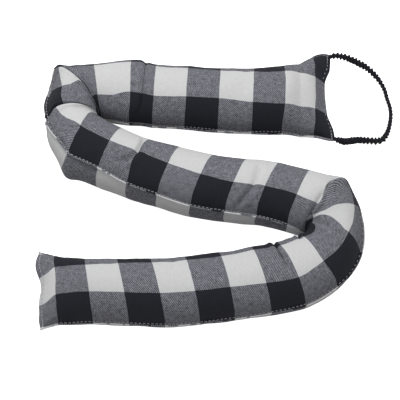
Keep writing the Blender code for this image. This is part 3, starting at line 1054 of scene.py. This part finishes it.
def make_loop(material):
    """The gathered casing along the loop's path, and that path."""
    rows = [SEWN_IN_START, *LOOP, SEWN_IN_STOP]
    _, length = through_points(rows, 10)
    path, length = through_points(rows, int(length / LOOP_STEP))
    centre = (path[:, :3] - np.array([ORIGIN_X, ORIGIN_Y, 0])) * MM
    thickness = path[:, 3]
    step = np.arange(len(path))
    inward = np.minimum(step, step[::-1]) * LOOP_STEP
    fullness = np.clip((inward - 1.5) / 4, 0, 1) * np.clip((thickness - 1.2) / 1.0, 0.35, 1)
    from_stop = inward + LOOP_STEP * len(path) * (step < len(path) / 2)
    fullness = fullness * np.interp(from_stop, (4, 9, 27, 34), (1, 1.5, 1.5, 1))
    lift = np.maximum(centre[:, 2], (0.95 * thickness + 0.2) * MM)
    centre[:, 2] = np.where(inward > 8, lift, centre[:, 2])
    edges = [(i, i + 1) for i in range(len(path) - 1)]
    values = {"thickness": thickness * MM, "fullness": fullness}
    line = point_row("loop_path", centre, edges, values)
    loop = gathered_casing(material).applied("gathered_loop", line, material)
    return loop, centre, length * MM


# The stitches


def one_stitch_each(material):
    """A tree that lays one stitch of thread on every point, along its run and against the cloth."""
    sizes = {"Stitch length": 2.5 * MM, "Thread thickness": 0.75 * MM, "Slant": 0.16}
    tree = Pattern("one_stitch_each", sizes)
    points = tree.node("GeometryNodeMeshToPoints", {}, {"Mesh": tree.given("Geometry")})
    ball = tree.node("GeometryNodeMeshUVSphere", {}, {"Segments": 8, "Rings": 6, "Radius": 0.5})
    thickness = tree.given("Thread thickness")
    size = tree.vector(tree.given("Stitch length"), thickness, thickness)
    grain = tree.node("GeometryNodeTransform", {}, {"Geometry": ball, "Scale": size})
    run, lift = tree.stored("run", "FLOAT_VECTOR"), tree.stored("lift", "FLOAT_VECTOR")
    aligned = tree.node("FunctionNodeAlignRotationToVector", {"axis": "X"}, {"Vector": run})
    upright = tree.node("FunctionNodeAlignRotationToVector", {"axis": "Z", "pivot_axis": "X"},
                        {"Rotation": aligned, "Vector": lift})
    slant = tree.node("FunctionNodeRandomValue", {"data_type": "FLOAT"},
                      {2: tree.given("Slant") * -1.0, 3: tree.given("Slant"), "Seed": 5}, 1)
    turned = tree.node("FunctionNodeRotateRotation", {"rotation_space": "LOCAL"},
                       {"Rotation": upright, "Rotate By": tree.vector(0.0, 0.0, slant)})
    laid = tree.node("GeometryNodeInstanceOnPoints", {},
                     {"Points": points, "Instance": grain, "Rotation": turned})
    tree.finish(laid, material)
    return tree


def stitch_places():
    """Places of every stitch on the cloth, as (along, around) pairs, with the way it runs."""
    first, last = CLOTH_START + STITCH_MARGIN, CLOTH_END - STITCH_MARGIN
    count = int((last - first) * CHECK / STITCH_PITCH)
    start = math.ceil(first * CHECK / STITCH_PITCH) * STITCH_PITCH / CHECK
    along = (np.arange(count) + 0.5) * STITCH_PITCH / CHECK + start
    along = along[along < last]
    rows = [(along, np.full(len(along), seam), (1, 0)) for seam in (STITCH_LINE, 3 - STITCH_LINE)]
    panel = np.arange(STITCH_MARGIN, 2.86, STITCH_PITCH / CHECK)
    for inward in (CLOTH_START + END_STITCH, CLOTH_END - END_STITCH):
        rows += [(np.full(len(panel), inward), panel + side, (0, 1)) for side in (0, 3)]
    return rows


def make_stitches(cover, material):
    """All the stitches, laid on the cover; none where a bend squeezes the cloth along the seam."""
    spots, runs, lifts = [], [], []
    for along, around, (step_along, step_around) in stitch_places():
        here = cover.surface(along, around)
        ahead = cover.surface(along + SLOPE_STEP, around) - cover.surface(along - SLOPE_STEP, around)
        over = cover.surface(along, around + SLOPE_STEP) - cover.surface(along, around - SLOPE_STEP)
        lift = np.cross(over, ahead)
        lift /= np.maximum(np.linalg.norm(lift, axis=1, keepdims=True), 1e-9)
        run = ahead * step_along + over * step_around
        run /= np.maximum(np.linalg.norm(run, axis=1, keepdims=True), 1e-9)
        stretched = np.linalg.norm(ahead, axis=1) / (2 * SLOPE_STEP * CHECK)
        keep = (stretched > 0.55) | (step_around > 0)
        spots.append((here + 0.12 * lift)[keep])
        runs.append(run[keep])
        lifts.append(lift[keep])
    values = {"run": np.concatenate(runs), "lift": np.concatenate(lifts)}
    row = point_row("stitch_spots", np.concatenate(spots) * MM, [], values)
    return one_stitch_each(material).applied("seam_stitches", row, material)


# The scene

place_camera()
light_the_studio()
loop, loop_path, loop_length = make_loop(black_casing())
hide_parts("elastic_loop")
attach(loop, "root")

cover = Cover()
tube = make_cover(cover, check_cotton())
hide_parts("filled_tube")
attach(tube, "root")

stitches = make_stitches(cover, sewing_thread())
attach(stitches, "root")

corners = ((-1, -1), (1, -1), (1, 1), (-1, 1))
floor_corners = [(x * FLOOR_REACH, y * FLOOR_REACH, FLOOR_LEVEL) for x, y in corners]
floor = add_mesh("floor", floor_corners, [(0, 1, 2, 3)], pale_floor())
floor.visible_diffuse = False
